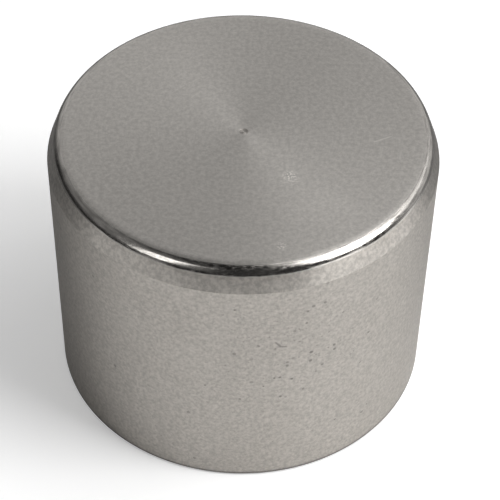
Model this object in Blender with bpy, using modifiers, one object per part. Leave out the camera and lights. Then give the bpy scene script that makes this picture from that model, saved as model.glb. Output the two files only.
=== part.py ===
"""Round pipe cap for a G 1 1/4 parallel pipe thread, with the bonded seal that it closes on.

Metres, +Z up. The cap stands on its mouth: z = 0 is the mouth face, the Z axis is the thread's
axis, and the closed end is at the top.
"""

from math import cos, pi, radians, sin, tan

import bmesh
import bpy

# Outside of the cap
BODY_RADIUS = 0.0285
BODY_HEIGHT = 0.044
BASE_CHAMFER = 0.0003
BAND_HEIGHT = 0.0036  # from the end face down to the band's lower edge
BAND_TAPER = radians(20)  # half angle of the skim-turned band
RIM_RADIUS = 0.0017  # polished corner between the band and the end face
RIM_STEPS = 5

# Centre mark left on the end face by turning
PIP_RADIUS = 0.00065
PIP_DEPTH = 0.00015
NIB_DEPTH = 0.00005

# Female thread: G 1 1/4, right-handed
THREAD_MAJOR_RADIUS = 0.020955
THREAD_MINOR_RADIUS = 0.019476
THREAD_PITCH = 0.002309
FLANK_ANGLE = radians(27.5)
CREST_CLEARANCE = 0.0001  # how far the thread cutter stands inside the plain bore

# Socket, measured along the axis from the mouth
MOUTH_RADIUS = 0.0216  # where the 45 degree lead-in meets the mouth face
RELIEF_START = 0.0242
RELIEF_END = 0.0287
RELIEF_RADIUS = 0.0214
SEAT_RADIUS = 0.01965
SOCKET_DEPTH = 0.0325
DRILL_RADIUS = 0.003
DRILL_HALF_ANGLE = radians(59)
CUT_OVERRUN = 0.0005  # how far a cutter runs past the mouth face

# Bonded seal: a metal ring with a rubber lip ring bonded inside it
FITTING_GAP = 0.0003
SEAL_OUTER_RADIUS = 0.0192
METAL_INNER_RADIUS = 0.0173
METAL_THICKNESS = 0.0025
METAL_EDGE = 0.0002
RUBBER_INNER_RADIUS = 0.0152
RUBBER_THICKNESS = 0.0027
RUBBER_BOND_THICKNESS = 0.0018
RUBBER_LIP_THICKNESS = 0.0008
RUBBER_EDGE = 0.00015

# Facets round the axis
OUTSIDE_SEGMENTS = 96
SOCKET_SEGMENTS = 40
BEVEL_SEGMENTS = 1
SHARP_ANGLE = radians(30)

STEEL = ("stainless_steel", (0.46, 0.45, 0.42, 1), 0.34, 1.0)
PLATED = ("plated_steel", (0.52, 0.52, 0.50, 1), 0.28, 1.0)
RUBBER = ("nitrile_rubber", (0.022, 0.022, 0.024, 1), 0.62, 0.0)


def clear_scene():
    for obj in list(bpy.data.objects):
        bpy.data.objects.remove(obj, do_unlink=True)


def new_collection(name):
    collection = bpy.data.collections.new(name)
    bpy.context.scene.collection.children.link(collection)
    return collection


def new_material(name, colour, roughness, metallic):
    material = bpy.data.materials.new(name)
    material.use_nodes = True
    shader = material.node_tree.nodes["Principled BSDF"]
    shader.inputs["Base Color"].default_value = colour
    shader.inputs["Roughness"].default_value = roughness
    shader.inputs["Metallic"].default_value = metallic
    return material


def outline_object(name, outline, closed, collection):
    """An object whose mesh is the outline, a list of (radius, z), drawn in the XZ plane."""
    mesh = bpy.data.meshes.new(name)
    edges = [(i, i + 1) for i in range(len(outline) - 1)]
    if closed:
        edges.append((len(outline) - 1, 0))
    mesh.from_pydata([(radius, 0, z) for radius, z in outline], edges, [])
    obj = bpy.data.objects.new(name, mesh)
    collection.objects.link(obj)
    return obj


def turned(name, outline, segments, collection, closed=False):
    """Turns the outline about Z. It runs down the outer side, top to bottom."""
    obj = outline_object(name, outline, closed, collection)
    screw = obj.modifiers.new("turn", "SCREW")
    screw.axis = "Z"
    screw.angle = 2 * pi
    screw.steps = segments
    screw.render_steps = segments
    screw.use_merge_vertices = True
    screw.merge_threshold = 0.000001
    return obj


def round_edges(obj, width):
    bevel = obj.modifiers.new("edges", "BEVEL")
    bevel.width = width
    bevel.segments = BEVEL_SEGMENTS
    bevel.limit_method = "ANGLE"
    bevel.angle_limit = SHARP_ANGLE


def cut(obj, cutter):
    cutter.hide_render = True
    cutter.display_type = "WIRE"
    boolean = obj.modifiers.new("cut " + cutter.name, "BOOLEAN")
    boolean.operation = "DIFFERENCE"
    boolean.solver = "EXACT"
    boolean.object = cutter


def finish(obj, material):
    """Applies the modifiers, shades the round faces smooth and gives the piece its material."""
    graph = bpy.context.evaluated_depsgraph_get()
    mesh = bpy.data.meshes.new_from_object(obj.evaluated_get(graph))
    mesh.name = obj.name
    mesh.shade_smooth()
    mesh.set_sharp_from_angle(angle=SHARP_ANGLE)
    mesh.materials.clear()
    mesh.materials.append(material)
    obj.modifiers.clear()
    obj.data = mesh


def rim_arc():
    """The polished corner, from the end face round to the band: it touches both smoothly."""
    turn = pi / 2 - BAND_TAPER
    corner_radius = BODY_RADIUS - BAND_HEIGHT * tan(BAND_TAPER)
    centre_radius = corner_radius - RIM_RADIUS * tan(turn / 2)
    centre_z = BODY_HEIGHT - RIM_RADIUS
    arc = []
    for step in range(RIM_STEPS + 1):
        angle = pi / 2 - turn * step / RIM_STEPS
        arc.append((centre_radius + RIM_RADIUS * cos(angle), centre_z + RIM_RADIUS * sin(angle)))
    return arc


def body_outline():
    pip = [
        (0, BODY_HEIGHT - NIB_DEPTH),
        (PIP_RADIUS / 2, BODY_HEIGHT - PIP_DEPTH),
        (PIP_RADIUS, BODY_HEIGHT),
    ]
    side = [
        (BODY_RADIUS, BODY_HEIGHT - BAND_HEIGHT),
        (BODY_RADIUS, BASE_CHAMFER),
        (BODY_RADIUS - BASE_CHAMFER, 0),
        (0, 0),
    ]
    return pip + rim_arc() + side


def socket_outline():
    """The socket's own space, from the drill dimple in the end wall down past the mouth."""
    relief_flank = RELIEF_RADIUS - THREAD_MINOR_RADIUS
    lead_in = MOUTH_RADIUS - THREAD_MINOR_RADIUS
    return [
        (0, SOCKET_DEPTH + DRILL_RADIUS / tan(DRILL_HALF_ANGLE)),
        (DRILL_RADIUS, SOCKET_DEPTH),
        (SEAT_RADIUS, SOCKET_DEPTH),
        (SEAT_RADIUS, RELIEF_END),
        (RELIEF_RADIUS, RELIEF_END),
        (RELIEF_RADIUS, RELIEF_START + relief_flank),
        (THREAD_MINOR_RADIUS, RELIEF_START),
        (THREAD_MINOR_RADIUS, lead_in),
        (MOUTH_RADIUS + CUT_OVERRUN, -CUT_OVERRUN),
        (0, -CUT_OVERRUN),
    ]


def thread_cutter(collection):
    """A coil whose section is the thread's groove, wound from below the mouth into the relief."""
    inner_radius = THREAD_MINOR_RADIUS - CREST_CLEARANCE
    flank_half = (THREAD_MAJOR_RADIUS - THREAD_MINOR_RADIUS) * tan(FLANK_ANGLE)
    root_half = (THREAD_PITCH / 2 - flank_half) / 2
    inner_half = root_half + (THREAD_MAJOR_RADIUS - inner_radius) * tan(FLANK_ANGLE)
    start = -THREAD_PITCH
    end = (RELIEF_START + RELIEF_END) / 2
    steps = round((end - start) / THREAD_PITCH * SOCKET_SEGMENTS)

    coil = bmesh.new()
    section = [
        (inner_radius, start - inner_half),
        (THREAD_MAJOR_RADIUS, start - root_half),
        (THREAD_MAJOR_RADIUS, start + root_half),
        (inner_radius, start + inner_half),
    ]
    coil.faces.new([coil.verts.new((radius, 0, z)) for radius, z in section])
    bmesh.ops.spin(
        coil,
        geom=coil.verts[:] + coil.edges[:] + coil.faces[:],
        cent=(0, 0, 0),
        axis=(0, 0, 1),
        dvec=(0, 0, THREAD_PITCH / SOCKET_SEGMENTS),
        angle=2 * pi * steps / SOCKET_SEGMENTS,
        steps=steps,
    )
    bmesh.ops.recalc_face_normals(coil, faces=coil.faces[:])
    mesh = bpy.data.meshes.new("thread_cutter")
    coil.to_mesh(mesh)
    coil.free()
    obj = bpy.data.objects.new("thread_cutter", mesh)
    obj.rotation_euler.z = pi / SOCKET_SEGMENTS  # half a facet off the bore, so no edges coincide
    collection.objects.link(obj)
    return obj


def make_cap(parts, cutters, material):
    cap = turned("cap_body", body_outline(), OUTSIDE_SEGMENTS, parts)
    cut(cap, turned("socket_cutter", socket_outline(), SOCKET_SEGMENTS, cutters))
    cut(cap, thread_cutter(cutters))
    finish(cap, material)


def metal_outline():
    top = METAL_THICKNESS / 2
    return [
        (METAL_INNER_RADIUS, top),
        (SEAL_OUTER_RADIUS, top),
        (SEAL_OUTER_RADIUS, -top),
        (METAL_INNER_RADIUS, -top),
    ]


def rubber_outline():
    """Thin where it meets the metal, proud of it at the crest, and a thin lip at the bore."""
    outer = METAL_INNER_RADIUS - FITTING_GAP
    crest = (outer + RUBBER_INNER_RADIUS) / 2
    upper = [
        (RUBBER_INNER_RADIUS, RUBBER_LIP_THICKNESS / 2),
        (crest, RUBBER_THICKNESS / 2),
        (outer, RUBBER_BOND_THICKNESS / 2),
    ]
    lower = [(radius, -z) for radius, z in reversed(upper)]
    return upper + lower


def make_seal(parts, metal, rubber):
    """The two rings hang on one empty on the socket's axis, so the seal moves as one."""
    seal = bpy.data.objects.new("bonded_seal", None)
    seal.location.z = SOCKET_DEPTH - FITTING_GAP - RUBBER_THICKNESS / 2
    parts.objects.link(seal)
    rings = [
        ("seal_metal_ring", metal_outline(), METAL_EDGE, metal),
        ("seal_rubber_ring", rubber_outline(), RUBBER_EDGE, rubber),
    ]
    for name, outline, edge, material in rings:
        ring = turned(name, outline, SOCKET_SEGMENTS, parts, closed=True)
        round_edges(ring, edge)
        finish(ring, material)
        ring.parent = seal


def main():
    clear_scene()
    parts = new_collection("pipe_cap")
    cutters = new_collection("cutters")
    make_cap(parts, cutters, new_material(*STEEL))
    make_seal(parts, new_material(*PLATED), new_material(*RUBBER))


main()
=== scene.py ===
"""Looks for the pipe cap: the turned steel body with its thread, and the bonded seal inside it."""

from math import cos, pi, radians, sin, tan

import bmesh
import bpy
from mathutils import Matrix, Vector


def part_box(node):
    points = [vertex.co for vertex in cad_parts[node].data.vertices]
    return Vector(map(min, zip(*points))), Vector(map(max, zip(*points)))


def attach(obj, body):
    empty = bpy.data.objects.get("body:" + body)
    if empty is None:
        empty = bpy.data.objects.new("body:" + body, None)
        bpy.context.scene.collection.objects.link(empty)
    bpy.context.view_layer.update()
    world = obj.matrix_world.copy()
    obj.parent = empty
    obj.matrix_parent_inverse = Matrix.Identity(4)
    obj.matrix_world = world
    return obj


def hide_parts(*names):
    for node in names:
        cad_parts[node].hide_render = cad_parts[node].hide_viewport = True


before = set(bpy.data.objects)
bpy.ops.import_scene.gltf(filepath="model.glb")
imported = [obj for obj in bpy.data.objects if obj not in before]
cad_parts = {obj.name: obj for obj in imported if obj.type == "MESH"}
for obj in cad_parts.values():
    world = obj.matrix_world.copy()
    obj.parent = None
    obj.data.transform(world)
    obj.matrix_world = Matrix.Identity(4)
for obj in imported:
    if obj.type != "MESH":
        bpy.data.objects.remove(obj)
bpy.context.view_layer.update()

# Read from the frame
BODY_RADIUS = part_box("cap_body")[1].x
BODY_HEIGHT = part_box("cap_body")[1].z
METAL_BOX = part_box("seal_metal_ring")
RUBBER_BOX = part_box("seal_rubber_ring")

# Outside of the cap, as in the CAD model
BASE_CHAMFER = 0.0003
BAND_HEIGHT = 0.0036
BAND_TAPER = radians(20)
RIM_RADIUS = 0.0017
PIP_RADIUS = 0.00065
PIP_DEPTH = 0.00015
NIB_DEPTH = 0.00005

# The end face rolls over a little before the polished corner starts
SOFT_RADIUS = 0.005
SOFT_ANGLE = radians(10)

# G 1 1/4 thread and the socket behind it, as in the CAD model
THREAD_MAJOR_RADIUS = 0.020955
THREAD_MINOR_RADIUS = 0.019476
THREAD_PITCH = 0.002309
THREAD_FULLNESS = 1.5  # 1 is a sine wave; more makes the crests and roots flatter
MOUTH_RADIUS = 0.0216
RELIEF_START = 0.0242
RELIEF_END = 0.0287
RELIEF_RADIUS = 0.0214
SEAT_RADIUS = 0.01965
SOCKET_DEPTH = 0.0325
DRILL_RADIUS = 0.003
DRILL_HALF_ANGLE = radians(59)

# Bonded seal: the rubber fills the CAD model's gap at the bond
METAL_INNER_RADIUS = 0.0173
RUBBER_INNER_RADIUS = 0.0152
RUBBER_BOND_THICKNESS = 0.0018
RUBBER_LIP_THICKNESS = 0.0008
METAL_EDGE = 0.00025
RUBBER_EDGE = 0.0002
BOND_GAP = 0.00001  # keeps the two rings' walls from lying in one place

# Fineness of the turned meshes
SEGMENTS = 256
RIM_STEPS = 16
SOFT_STEPS = 6
ROWS_PER_PITCH = 12
CORNER_STEPS = 6
FLAT_MARGIN = 0.0002  # keeps the shading of a flat face from bending towards its rounded edges
CORNER = radians(16)  # an edge sharper than this is a corner
THREAD_CORNER = radians(35)

# The cap's surfaces, in the order of its material slots
END_FACE, RIM, BAND, SIDE, SOCKET = range(5)

# Wear, where the photograph has it
NICKS = ((0.0066, -0.0093, BODY_HEIGHT), (0.0053, -0.0228, BODY_HEIGHT))
NICKS_REACH = (0.0018, 0.0012)
FACE_SCRATCH = ((0.0187, -0.0018, BODY_HEIGHT), (0.0212, -0.0006, BODY_HEIGHT))
FACE_SCRATCH_WIDTH = 0.00025
SIDE_SCRATCH = (
    (0.0049, -0.02808, 0.0301),
    (0.0056, -0.02794, 0.0291),
    (0.0063, -0.02779, 0.0290),
)
SIDE_SCRATCH_WIDTH = 0.0004
WORN_PATCH = (0.008, -0.0273, 0.029)
WORN_REACH = 0.016

BAR_WARMTH = 0.075  # the raw bar and the band are a little warmer than the rest

# Camera, at the photograph's viewing angle
CAMERA_PLACE = Vector((0, -0.1875, 0.2152))
CAMERA_TARGET = Vector((0.00123, 0, 0.0193))
CAMERA_ROLL = radians(1.145)
CAMERA_LENS = 126.5

TABLE_WIDTH = 6
TABLE_FRONT = 0.42  # how far the table goes in front of the cap's axis
TABLE_SHADE = 0.8  # how much painted shade darkens the table that the cap reflects, behind it
TABLE_GLOW = 0.3  # makes the table that the camera sees paler
TABLE_HEIGHT = -0.00005  # just below the mouth face
SEEN_TABLE_HEIGHT = -0.00004


# ---- Turned meshes --------------------------------------------------------------------------


def circle(mesh, radius, z):
    """A ring of vertices about the axis, or the one vertex on it."""
    if radius == 0:
        return [mesh.verts.new((0, 0, z))]
    angles = [2 * pi * i / SEGMENTS for i in range(SEGMENTS)]
    return [mesh.verts.new((radius * cos(a), radius * sin(a), z)) for a in angles]


def skin(mesh, upper, lower, surface=0):
    """Faces between two rings. The outside is on the right of the way from upper to lower."""
    for i in range(SEGMENTS):
        j = (i + 1) % SEGMENTS
        corners = [upper[i % len(upper)], lower[i % len(lower)]]
        corners += [lower[j % len(lower)], upper[j % len(upper)]]
        face = mesh.faces.new(list(dict.fromkeys(corners)))
        face.material_index = surface
        face.smooth = True


def turn(mesh, outline, surface=0):
    """Turns an outline of (radius, z) about the axis, and returns its rings."""
    rings = [circle(mesh, radius, z) for radius, z in outline]
    for upper, lower in zip(rings, rings[1:]):
        skin(mesh, upper, lower, surface)
    return rings


def arc(centre, radius, start, end, steps):
    """Points on an arc in the (radius, z) plane, both ends included."""
    angles = [start + (end - start) * i / steps for i in range(steps + 1)]
    return [(centre[0] + radius * cos(a), centre[1] + radius * sin(a)) for a in angles]


def rounded(outline, radius):
    """A closed outline with an arc at each of its corners."""
    points = [Vector(p) for p in outline]
    smooth = []
    for before, corner, after in zip(points[-1:] + points[:-1], points, points[1:] + points[:1]):
        back = (before - corner).normalized()
        ahead = (after - corner).normalized()
        half = back.angle(ahead) / 2
        centre = corner + (back + ahead).normalized() * radius / sin(half)
        start = corner + back * radius / tan(half) - centre
        end = corner + ahead * radius / tan(half) - centre
        for step in range(CORNER_STEPS + 1):
            spoke = start.lerp(end, step / CORNER_STEPS).normalized() * radius
            smooth.append(tuple(centre + spoke))
    return smooth


def close_mesh(mesh):
    """Merges the rings that meet, and keeps real corners crisp."""
    bmesh.ops.remove_doubles(mesh, verts=mesh.verts[:], dist=1e-6)
    bmesh.ops.dissolve_degenerate(mesh, edges=mesh.edges[:], dist=1e-7)
    bmesh.ops.recalc_face_normals(mesh, faces=mesh.faces[:])
    for edge in mesh.edges:
        threaded = all(face.material_index == SOCKET for face in edge.link_faces)
        edge.smooth = edge.calc_face_angle() < (THREAD_CORNER if threaded else CORNER)


def make_piece(name, mesh, body, node, materials):
    """Turns the bmesh into a piece that stands for a CAD node and moves with its body."""
    data = bpy.data.meshes.new(name)
    mesh.to_mesh(data)
    mesh.free()
    piece = bpy.data.objects.new(name, data)
    bpy.context.scene.collection.objects.link(piece)
    for material in materials:
        data.materials.append(material)
    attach(piece, body)
    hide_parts(node)
    return piece


def rim_outlines():
    """Two arcs that meet smoothly: the end face's softened edge, then the polished corner.

    The corner touches the tapered band where the CAD model's single arc does.
    """
    turn_angle = pi / 2 - BAND_TAPER
    corner_radius = BODY_RADIUS - BAND_HEIGHT * tan(BAND_TAPER)
    end_radius = corner_radius - RIM_RADIUS * (tan(turn_angle / 2) - cos(BAND_TAPER))
    end_height = BODY_HEIGHT - RIM_RADIUS * (1 - sin(BAND_TAPER))
    start_height = BODY_HEIGHT - SOFT_RADIUS * (1 - cos(SOFT_ANGLE))
    polished = (start_height - end_height) / (cos(SOFT_ANGLE) - sin(BAND_TAPER))
    centre = (end_radius - polished * cos(BAND_TAPER), end_height - polished * sin(BAND_TAPER))
    corner = arc(centre, polished, pi / 2 - SOFT_ANGLE, BAND_TAPER, RIM_STEPS)
    soft_centre = (corner[0][0] - SOFT_RADIUS * sin(SOFT_ANGLE), BODY_HEIGHT - SOFT_RADIUS)
    soft = arc(soft_centre, SOFT_RADIUS, pi / 2, pi / 2 - SOFT_ANGLE, SOFT_STEPS)
    return soft, corner


def plain_socket_radius(z):
    """The socket's radius with no thread: lead-in, bore, then the relief's sloping flank."""
    lead_in = MOUTH_RADIUS - z
    relief = THREAD_MINOR_RADIUS + z - RELIEF_START
    return max(THREAD_MINOR_RADIUS, lead_in, relief)


def groove_radius(phase):
    """The thread's radius at a phase of its pitch, 0 at the root: rounded crests and roots."""
    middle = (THREAD_MAJOR_RADIUS + THREAD_MINOR_RADIUS) / 2
    depth = THREAD_MAJOR_RADIUS - THREAD_MINOR_RADIUS
    wave = THREAD_FULLNESS * cos(2 * pi * phase)
    return middle + depth / 2 * wave / (1 + abs(wave) ** 3) ** (1 / 3) * flatness()


def flatness():
    """Brings the flattened wave back to full depth."""
    return (1 + THREAD_FULLNESS**3) ** (1 / 3) / THREAD_FULLNESS


def turn_thread(mesh, end):
    """The threaded wall as a right-hand helical grid, cut off level at the mouth and at end.

    Rows climb by a pitch each turn, so a row's last point is joined to the first point of the
    row one pitch on. Points past either end lie on its circle and are merged afterwards.
    """
    row_count = round(end / THREAD_PITCH + 2) * ROWS_PER_PITCH
    rows = []
    for row in range(row_count + 1):
        points = []
        for i in range(SEGMENTS):
            phase = row / ROWS_PER_PITCH
            climb = (phase + i / SEGMENTS - 1) * THREAD_PITCH
            z = min(max(climb, 0), end)
            turned = z / THREAD_PITCH - i / SEGMENTS
            radius = max(plain_socket_radius(z), groove_radius(turned))
            angle = 2 * pi * i / SEGMENTS
            points.append(mesh.verts.new((radius * cos(angle), radius * sin(angle), z)))
        rows.append(points)
    for row in range(row_count):
        for i in range(SEGMENTS - 1):
            corners = [rows[row][i], rows[row + 1][i], rows[row + 1][i + 1], rows[row][i + 1]]
            add_socket_face(mesh, corners)
        ahead = min(row + ROWS_PER_PITCH, row_count)
        above = min(row + 1 + ROWS_PER_PITCH, row_count)
        if above > ahead:
            corners = [rows[row][-1], rows[row + 1][-1], rows[above][0], rows[ahead][0]]
            add_socket_face(mesh, corners)


def add_socket_face(mesh, corners):
    face = mesh.faces.new(corners)
    face.material_index = SOCKET
    face.smooth = True


def make_cap(materials):
    mesh = bmesh.new()
    soft, rim = rim_outlines()
    pip = [(0, BODY_HEIGHT - NIB_DEPTH), (PIP_RADIUS / 2, BODY_HEIGHT - PIP_DEPTH)]
    flat = [(PIP_RADIUS, BODY_HEIGHT), (soft[0][0] - FLAT_MARGIN, BODY_HEIGHT)]
    turn(mesh, pip + flat + soft, END_FACE)
    turn(mesh, rim, RIM)
    turn(mesh, [rim[-1], (BODY_RADIUS, BODY_HEIGHT - BAND_HEIGHT)], BAND)
    base = BODY_RADIUS - BASE_CHAMFER
    side = [(BODY_RADIUS, BODY_HEIGHT - BAND_HEIGHT), (BODY_RADIUS, BASE_CHAMFER), (base, 0)]
    turn(mesh, side, SIDE)
    turn(mesh, [(base, 0), (MOUTH_RADIUS, 0)], SOCKET)
    relief_flank_end = RELIEF_START + RELIEF_RADIUS - THREAD_MINOR_RADIUS
    turn_thread(mesh, relief_flank_end)
    drill_depth = DRILL_RADIUS / tan(DRILL_HALF_ANGLE)
    inner = [
        (RELIEF_RADIUS, relief_flank_end),
        (RELIEF_RADIUS, RELIEF_END),
        (SEAT_RADIUS, RELIEF_END),
        (SEAT_RADIUS, SOCKET_DEPTH),
        (DRILL_RADIUS, SOCKET_DEPTH),
        (0, SOCKET_DEPTH + drill_depth),
    ]
    turn(mesh, inner, SOCKET)
    close_mesh(mesh)
    return make_piece("turned_cap", mesh, "cap", "cap_body", materials)


def make_ring(name, outline, node, material):
    mesh = bmesh.new()
    turn(mesh, outline + outline[:1])
    close_mesh(mesh)
    return make_piece(name, mesh, "bonded_seal", node, [material])


def make_seal(metal, rubber):
    low, high = METAL_BOX
    outline = [
        (METAL_INNER_RADIUS, high.z),
        (high.x, high.z),
        (high.x, low.z),
        (METAL_INNER_RADIUS, low.z),
    ]
    smooth = rounded(outline, METAL_EDGE)
    make_ring("washer_metal", smooth, "seal_metal_ring", metal)
    low, high = RUBBER_BOX
    middle = (low.z + high.z) / 2
    crest = (METAL_INNER_RADIUS + RUBBER_INNER_RADIUS) / 2
    bond = METAL_INNER_RADIUS - BOND_GAP
    outline = [
        (RUBBER_INNER_RADIUS, middle + RUBBER_LIP_THICKNESS / 2),
        (crest, high.z),
        (bond, middle + RUBBER_BOND_THICKNESS / 2),
        (bond, middle - RUBBER_BOND_THICKNESS / 2),
        (crest, low.z),
        (RUBBER_INNER_RADIUS, middle - RUBBER_LIP_THICKNESS / 2),
    ]
    smooth = rounded(outline, RUBBER_EDGE)
    make_ring("washer_rubber", smooth, "seal_rubber_ring", rubber)


# ---- Materials ------------------------------------------------------------------------------


class Nodes:
    """A node tree and the few node calls that the finishes and the studio share."""

    def __init__(self, tree):
        self.tree = tree

    def add(self, kind, **settings):
        made = self.tree.nodes.new(kind)
        for key, value in settings.items():
            setattr(made, key, value)
        return made

    def put(self, socket, value):
        """Sets a socket to a number or a colour, or links it to another socket."""
        if isinstance(value, bpy.types.NodeSocket):
            self.tree.links.new(value, socket)
        else:
            socket.default_value = value

    def math(self, operation, *values, clamp=False):
        made = self.add("ShaderNodeMath", operation=operation, use_clamp=clamp)
        for socket, value in zip(made.inputs, values):
            self.put(socket, value)
        return made.outputs[0]

    def vector(self, operation, *values, output="Vector"):
        made = self.add("ShaderNodeVectorMath", operation=operation)
        for socket, value in zip(made.inputs, values):
            self.put(socket, value)
        return made.outputs[output]

    def ramp(self, value, low, high, to_low=0.0, to_high=1.0):
        made = self.add("ShaderNodeMapRange", interpolation_type="SMOOTHSTEP")
        for socket, number in zip(made.inputs, (value, low, high, to_low, to_high)):
            self.put(socket, number)
        return made.outputs[0]

    def blend(self, factor, first, second):
        made = self.add("ShaderNodeMix", data_type="RGBA")
        self.put(made.inputs["Factor"], factor)
        self.put(made.inputs["A"], first)
        self.put(made.inputs["B"], second)
        return made.outputs["Result"]

    def axes(self, point):
        parts = self.add("ShaderNodeSeparateXYZ")
        self.put(parts.inputs[0], point)
        return parts.outputs


class Surface(Nodes):
    """A Principled material, with patterns measured in metres on the object."""

    def __init__(self, name, metallic, anisotropic=0.0):
        self.material = bpy.data.materials.new(name)
        self.material.use_nodes = True
        super().__init__(self.material.node_tree)
        self.shader = self.tree.nodes["Principled BSDF"]
        self.shader.inputs["Metallic"].default_value = metallic
        self.shader.inputs["Anisotropic"].default_value = anisotropic
        self.point = self.add("ShaderNodeTexCoord").outputs["Object"]

    def noise(self, scale, detail=2.0, roughness=0.5):
        """Noise whose cells are 1/scale metres along each axis."""
        return self.noise_at(self.vector("MULTIPLY", self.point, scale), detail, roughness)

    def streaks(self, across, per_metre, per_radian, detail=2.0):
        """Noise drawn out round the axis, as polishing leaves it."""
        spoke = self.vector("NORMALIZE", self.vector("MULTIPLY", self.point, (1, 1, 0)))
        step = self.add("ShaderNodeCombineXYZ")
        self.put(step.inputs["Z"], self.math("MULTIPLY", across, per_metre))
        scale = (per_radian, per_radian, 0)
        place = self.vector("MULTIPLY_ADD", spoke, scale, step.outputs[0])
        return self.noise_at(place, detail, 0.5)

    def noise_at(self, place, detail, roughness):
        made = self.add("ShaderNodeTexNoise")
        self.put(made.inputs["Vector"], place)
        self.put(made.inputs["Scale"], 1.0)
        self.put(made.inputs["Detail"], detail)
        self.put(made.inputs["Roughness"], roughness)
        return made.outputs["Fac"]

    def lines(self, distance, per_metre, detail=2.0):
        """Noise that varies along one distance only, as cutting marks do."""
        made = self.add("ShaderNodeTexNoise", noise_dimensions="1D")
        self.put(made.inputs["W"], distance)
        self.put(made.inputs["Scale"], per_metre)
        self.put(made.inputs["Detail"], detail)
        return made.outputs["Fac"]

    def radius(self):
        level = self.vector("MULTIPLY", self.point, (1, 1, 0))
        return self.vector("LENGTH", level, output="Value")

    def height(self):
        return self.axes(self.point)["Z"]

    def patch(self, centre, reach):
        """1 at a point on the object, fading to 0 at a distance from it."""
        distance = self.vector("DISTANCE", self.point, centre, output="Value")
        return self.ramp(distance, 0.0, reach, 1.0, 0.0)

    def pits(self, per_metre, largest, share):
        """Round pits of varied size and depth in a share of the cells: 0 outside them."""
        cells = self.add("ShaderNodeTexVoronoi")
        self.put(cells.inputs["Vector"], self.point)
        self.put(cells.inputs["Scale"], per_metre)
        chance, size, depth = self.axes(cells.outputs["Color"])
        chosen = self.math("GREATER_THAN", self.math("ADD", chance, share), 1.0)
        chosen = self.math("MULTIPLY", chosen, self.math("MULTIPLY_ADD", depth, 0.75, 0.25))
        size = self.math("MULTIPLY_ADD", size, 0.6, 0.4)
        reach = self.math("MULTIPLY", size, largest * per_metre)
        inside = self.math("DIVIDE", cells.outputs["Distance"], reach)
        return self.math("MULTIPLY", chosen, self.ramp(inside, 0.6, 1.0, 1.0, 0.0))

    def scratch(self, start, end, width):
        """A fine line between two points on the object: 1 on it, 0 off it."""
        start, end = Vector(start), Vector(end)
        run = end - start
        from_start = self.vector("SUBTRACT", self.point, start)
        along = self.vector("DOT_PRODUCT", from_start, run / run.length_squared, output="Value")
        within = self.math("MAXIMUM", self.math("MINIMUM", along, 1.0), 0.0)
        nearest = self.add("ShaderNodeVectorMath", operation="SCALE")
        self.put(nearest.inputs[0], run)
        self.put(nearest.inputs["Scale"], within)
        off = self.vector("DISTANCE", from_start, nearest.outputs[0], output="Value")
        return self.ramp(off, width / 4, width / 2, 1.0, 0.0)

    def finish(self, colour, roughness, height=None, bump_metres=0.0):
        self.put(self.shader.inputs["Base Color"], colour)
        self.put(self.shader.inputs["Roughness"], roughness)
        if height is not None:
            bump = self.add("ShaderNodeBump")
            self.put(bump.inputs["Height"], height)
            self.put(bump.inputs["Distance"], bump_metres)
            self.put(self.shader.inputs["Normal"], bump.outputs[0])
        return self.material


def grey(value, warmth=0.06):
    """A neutral steel colour, slightly warmer than grey."""
    return (value * (1 + 0.8 * warmth), value, value * (1 - warmth), 1)


def end_face_finish():
    """Fine concentric turning marks; their direction gives the face its bow-tie sheen."""
    surface = Surface("turned_end_face", 1.0, anisotropic=0.5)
    surface.shader.inputs["Anisotropic Rotation"].default_value = 0.25
    radius = surface.radius()
    marks = surface.lines(radius, 4000, detail=3.0)
    wander = surface.noise((90, 90, 90))
    grain = surface.noise((1500, 1500, 1500), detail=4.0, roughness=0.75)
    colour = surface.blend(surface.ramp(marks, 0.3, 0.7), grey(0.58), grey(0.62))
    colour = surface.blend(surface.ramp(grain, 0.33, 0.67), colour, grey(0.475))
    colour = surface.blend(end_face_nicks(surface), colour, grey(0.85))
    # Painted shade: the centre dimple is coloured darker, and is made rougher too
    painted_shade = surface.ramp(radius, 0.9 * PIP_RADIUS, 1.1 * PIP_RADIUS, 0.9, 0.0)
    colour = surface.blend(painted_shade, colour, grey(0.38))
    dulled = surface.math("MULTIPLY", painted_shade, 0.6)
    roughness = surface.math("ADD", surface.ramp(wander, 0.3, 0.7, 0.29, 0.33), dulled)
    tangent = surface.add("ShaderNodeTangent", direction_type="RADIAL", axis="Z")
    surface.put(surface.shader.inputs["Tangent"], tangent.outputs[0])
    height = surface.math("ADD", marks, grain)
    return surface.finish(colour, roughness, height, 0.000002)


def end_face_nicks(surface):
    """Two small clusters of bright nicks and one faint scratch."""
    specks = surface.ramp(surface.noise((3500, 3500, 3500)), 0.50, 0.60)
    near, far = [surface.patch(*nick) for nick in zip(NICKS, NICKS_REACH)]
    clusters = surface.math("MULTIPLY", specks, surface.math("MULTIPLY_ADD", near, 1.4, far))
    scratch = surface.scratch(*FACE_SCRATCH, FACE_SCRATCH_WIDTH)
    scratch = surface.math("MULTIPLY", scratch, 0.4)
    return surface.math("ADD", clusters, scratch, clamp=True)


def rim_finish():
    """Buffed by hand: bright, with fine streaks left round it."""
    surface = Surface("polished_rim", 1.0)
    across = surface.math("SUBTRACT", surface.radius(), surface.height())
    marks = surface.streaks(across, 1800, 10, detail=3.0)
    polish = surface.streaks(across, 3000, 40)
    colour = surface.blend(surface.ramp(marks, 0.3, 0.7), grey(0.42), grey(0.64))
    roughness = surface.ramp(polish, 0.3, 0.7, 0.12, 0.26)
    return surface.finish(colour, roughness, marks, 0.00002)


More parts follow.
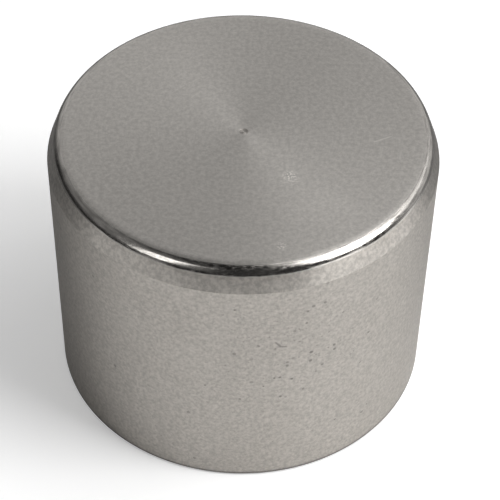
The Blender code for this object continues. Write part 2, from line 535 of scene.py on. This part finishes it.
def band_finish():
    """Skim-turned: smoother than the bar below, with fine lines round it and a light mottle."""
    surface = Surface("skimmed_band", 1.0)
    marks = surface.lines(surface.height(), 5000)
    mottle = surface.noise((1500, 1500, 1500), detail=4.0, roughness=0.7)
    cloud = surface.noise((250, 250, 250))
    dark, light = grey(0.41, BAR_WARMTH), grey(0.585, BAR_WARMTH)
    colour = surface.blend(surface.ramp(mottle, 0.35, 0.65), dark, light)
    roughness = surface.ramp(cloud, 0.3, 0.7, 0.28, 0.34)
    height = surface.math("MULTIPLY_ADD", mottle, 0.4, marks)
    return surface.finish(colour, roughness, height, 0.000003)


def side_finish():
    """The bar's own surface: matte, finely mottled, drawn lengthwise and lightly pitted."""
    surface = Surface("raw_bar_side", 1.0)
    mottle = surface.noise((1900, 1900, 1900), detail=4.0, roughness=0.7)
    drawn = surface.noise((1500, 1500, 60), detail=3.0)
    cloud = surface.noise((120, 120, 90), detail=3.0)
    dark, middle, light = [grey(value, BAR_WARMTH) for value in (0.38, 0.44, 0.56)]
    steel = surface.blend(surface.ramp(mottle, 0.3, 0.7), dark, light)
    steel = surface.blend(surface.ramp(drawn, 0.35, 0.65, 0.0, 0.25), steel, middle)
    marks = surface.math("MAXIMUM", side_pits(surface), side_scratch(surface))
    colour = surface.blend(surface.math("MULTIPLY", marks, 0.75), steel, grey(0.16))
    # Painted shade: the base chamfer and the foot of the side go near black, as contact shadow
    # where the cap stands
    painted_shade = surface.ramp(surface.height(), BASE_CHAMFER, 3 * BASE_CHAMFER, 0.8, 0.0)
    colour = surface.blend(painted_shade, colour, grey(0.10))
    roughness = surface.ramp(cloud, 0.3, 0.7, 0.42, 0.50)
    height = surface.math("SUBTRACT", mottle, surface.math("MULTIPLY", marks, 4.0))
    return surface.finish(colour, roughness, height, 0.000008)


def side_pits(surface):
    """Pits and finer specks, few but for those on the worn patch."""
    worn = surface.patch(WORN_PATCH, WORN_REACH)
    pits = surface.pits(1200, 0.00036, surface.math("MULTIPLY_ADD", worn, 0.40, 0.02))
    specks = surface.pits(2400, 0.0002, surface.math("MULTIPLY", worn, 0.5))
    return surface.math("MAXIMUM", pits, surface.math("MULTIPLY", specks, 0.5))


def side_scratch(surface):
    """A short bent scratch."""
    start, bend, end = SIDE_SCRATCH
    upper = surface.scratch(start, bend, SIDE_SCRATCH_WIDTH)
    lower = surface.scratch(bend, end, SIDE_SCRATCH_WIDTH)
    return surface.math("MULTIPLY", surface.math("MAXIMUM", upper, lower), 0.7)


def socket_finish():
    """The cut thread and bore: bright, with fine lines round them."""
    surface = Surface("machined_socket", 1.0)
    across = surface.math("ADD", surface.radius(), surface.height())
    marks = surface.lines(across, 3000, detail=3.0)
    colour = surface.blend(surface.ramp(marks, 0.35, 0.65), grey(0.40), grey(0.56))
    return surface.finish(colour, surface.ramp(marks, 0.3, 0.7, 0.20, 0.27), marks, 0.000008)


def plated_finish():
    surface = Surface("plated_ring", 1.0)
    marks = surface.lines(surface.radius(), 5000)
    cloud = surface.noise((400, 400, 400))
    colour = surface.blend(cloud, (0.50, 0.51, 0.50, 1), (0.60, 0.60, 0.57, 1))
    return surface.finish(colour, surface.ramp(marks, 0.3, 0.7, 0.28, 0.38))


def rubber_finish():
    surface = Surface("moulded_rubber", 0.0)
    grain = surface.noise((3000, 3000, 3000), detail=3.0)
    bloom = surface.noise((300, 300, 300))
    colour = surface.blend(bloom, (0.016, 0.016, 0.017, 1), (0.034, 0.034, 0.035, 1))
    return surface.finish(colour, surface.ramp(grain, 0.3, 0.7, 0.5, 0.7), grain, 0.00002)


def floor_finish(name, glow, shade):
    """A pale surface, with painted shade that darkens it by a share behind the cap."""
    surface = Surface(name, 0.0)
    cloud = surface.noise((3, 3, 3))
    colour = surface.blend(cloud, (0.86, 0.86, 0.86, 1), (0.88, 0.88, 0.88, 1))
    x, y, _ = surface.axes(surface.point)
    # Painted shade: darker behind the cap, and a little more so on its left
    behind = surface.ramp(surface.math("MULTIPLY_ADD", x, -0.15, y), -0.045, 0.045, 0.0, shade)
    colour = surface.blend(behind, colour, (0, 0, 0, 1))
    surface.shader.inputs["Emission Color"].default_value = (1, 1, 1, 1)
    surface.shader.inputs["Emission Strength"].default_value = glow
    return surface.finish(colour, 0.7)


# ---- Studio ---------------------------------------------------------------------------------


def add_table(name, front, height, finish):
    bpy.ops.mesh.primitive_plane_add(size=TABLE_WIDTH)
    table = bpy.context.object
    table.name = name
    table.data.transform(Matrix.Translation((0, TABLE_WIDTH / 2 - front, height)))
    table.data.materials.append(finish)
    return table


def make_floor():
    """A pale table that the cap reflects, and a paler look of it for the camera alone.

    The one that the cap reflects has painted shade behind it, and ends where the dark front of
    the room begins.
    """
    plain = floor_finish("table", 0.0, TABLE_SHADE)
    reflected = add_table("table", TABLE_FRONT, TABLE_HEIGHT, plain)
    reflected.visible_camera = False
    glowing = floor_finish("table_seen", TABLE_GLOW, 0.0)
    seen = add_table("table_seen", TABLE_WIDTH / 2, SEEN_TABLE_HEIGHT, glowing)
    seen.visible_glossy = False
    seen.visible_diffuse = False
    seen.visible_shadow = False


def make_world():
    """A dark room, lighter behind and high on the left, and pale where the camera sees it."""
    world = bpy.data.worlds.new("studio")
    world.use_nodes = True
    nodes = Nodes(world.node_tree)
    x, y, z = nodes.axes(nodes.add("ShaderNodeTexCoord").outputs["Generated"])
    walls = nodes.ramp(nodes.math("MULTIPLY_ADD", x, 0.45, y), 0.15, 0.85, 0.03, 0.58)
    walls = nodes.math("MULTIPLY", walls, nodes.ramp(z, 0.80, 0.98, 1.0, 0.4))
    left = nodes.math("MULTIPLY", nodes.ramp(x, -0.5, -0.1, 0.16, 0.0), nodes.ramp(z, 0.18, 0.55))
    room = nodes.math("ADD", walls, left)
    pale = nodes.add("ShaderNodeLightPath").outputs["Is Camera Ray"]
    light = nodes.tree.nodes["Background"]
    nodes.put(light.inputs["Color"], nodes.blend(pale, room, (0.9, 0.9, 0.9, 1)))
    bpy.context.scene.world = world


def make_softbox(name, azimuth, elevation, distance, size, watts):
    """A softbox aimed at the cap. Azimuth 0 is the camera's side, 90 is +X."""
    light = bpy.data.lights.new(name, "AREA")
    light.shape = "RECTANGLE"
    light.size, light.size_y = size
    light.energy = watts
    lamp = bpy.data.objects.new(name, light)
    bpy.context.scene.collection.objects.link(lamp)
    across, up = radians(azimuth), radians(elevation)
    direction = Vector((cos(up) * sin(across), -cos(up) * cos(across), sin(up)))
    aim = Vector((0, 0, BODY_HEIGHT / 2))
    facing = direction.to_track_quat("Z", "Y").to_matrix().to_4x4()
    lamp.matrix_world = Matrix.Translation(aim + direction * distance) @ facing


def make_camera():
    camera = bpy.data.objects.new("camera", bpy.data.cameras.new("camera"))
    bpy.context.scene.collection.objects.link(camera)
    camera.data.lens = CAMERA_LENS
    camera.data.clip_start = 0.01
    back = CAMERA_PLACE - CAMERA_TARGET
    level = back.to_track_quat("Z", "Y").to_matrix().to_4x4()
    roll = Matrix.Rotation(CAMERA_ROLL, 4, "Z")
    camera.matrix_world = Matrix.Translation(CAMERA_PLACE) @ level @ roll
    bpy.context.scene.camera = camera


def make_studio():
    make_floor()
    make_world()
    make_softbox("key", 71, 45, 0.7, (0.32, 0.28), 2.6)
    make_softbox("key_wide", 71, 46, 0.72, (0.48, 0.46), 0.7)
    make_softbox("key_upper", 84, 60, 0.7, (0.40, 0.34), 1.2)
    make_softbox("key_top", 122, 69, 0.7, (0.28, 0.26), 0.34)
    make_softbox("side_right", 118, 46, 0.7, (0.40, 0.36), 0.30)
    make_softbox("fill", -49, 43, 0.7, (0.24, 0.42), 0.60)
    make_softbox("low_right", 50, 3, 0.7, (0.34, 0.20), 0.36)
    make_softbox("low_left", -46, 4, 0.7, (0.18, 0.22), 0.03)
    bpy.context.scene.view_settings.view_transform = "Standard"


make_cap([end_face_finish(), rim_finish(), band_finish(), side_finish(), socket_finish()])
make_seal(plated_finish(), rubber_finish())
make_studio()
make_camera()
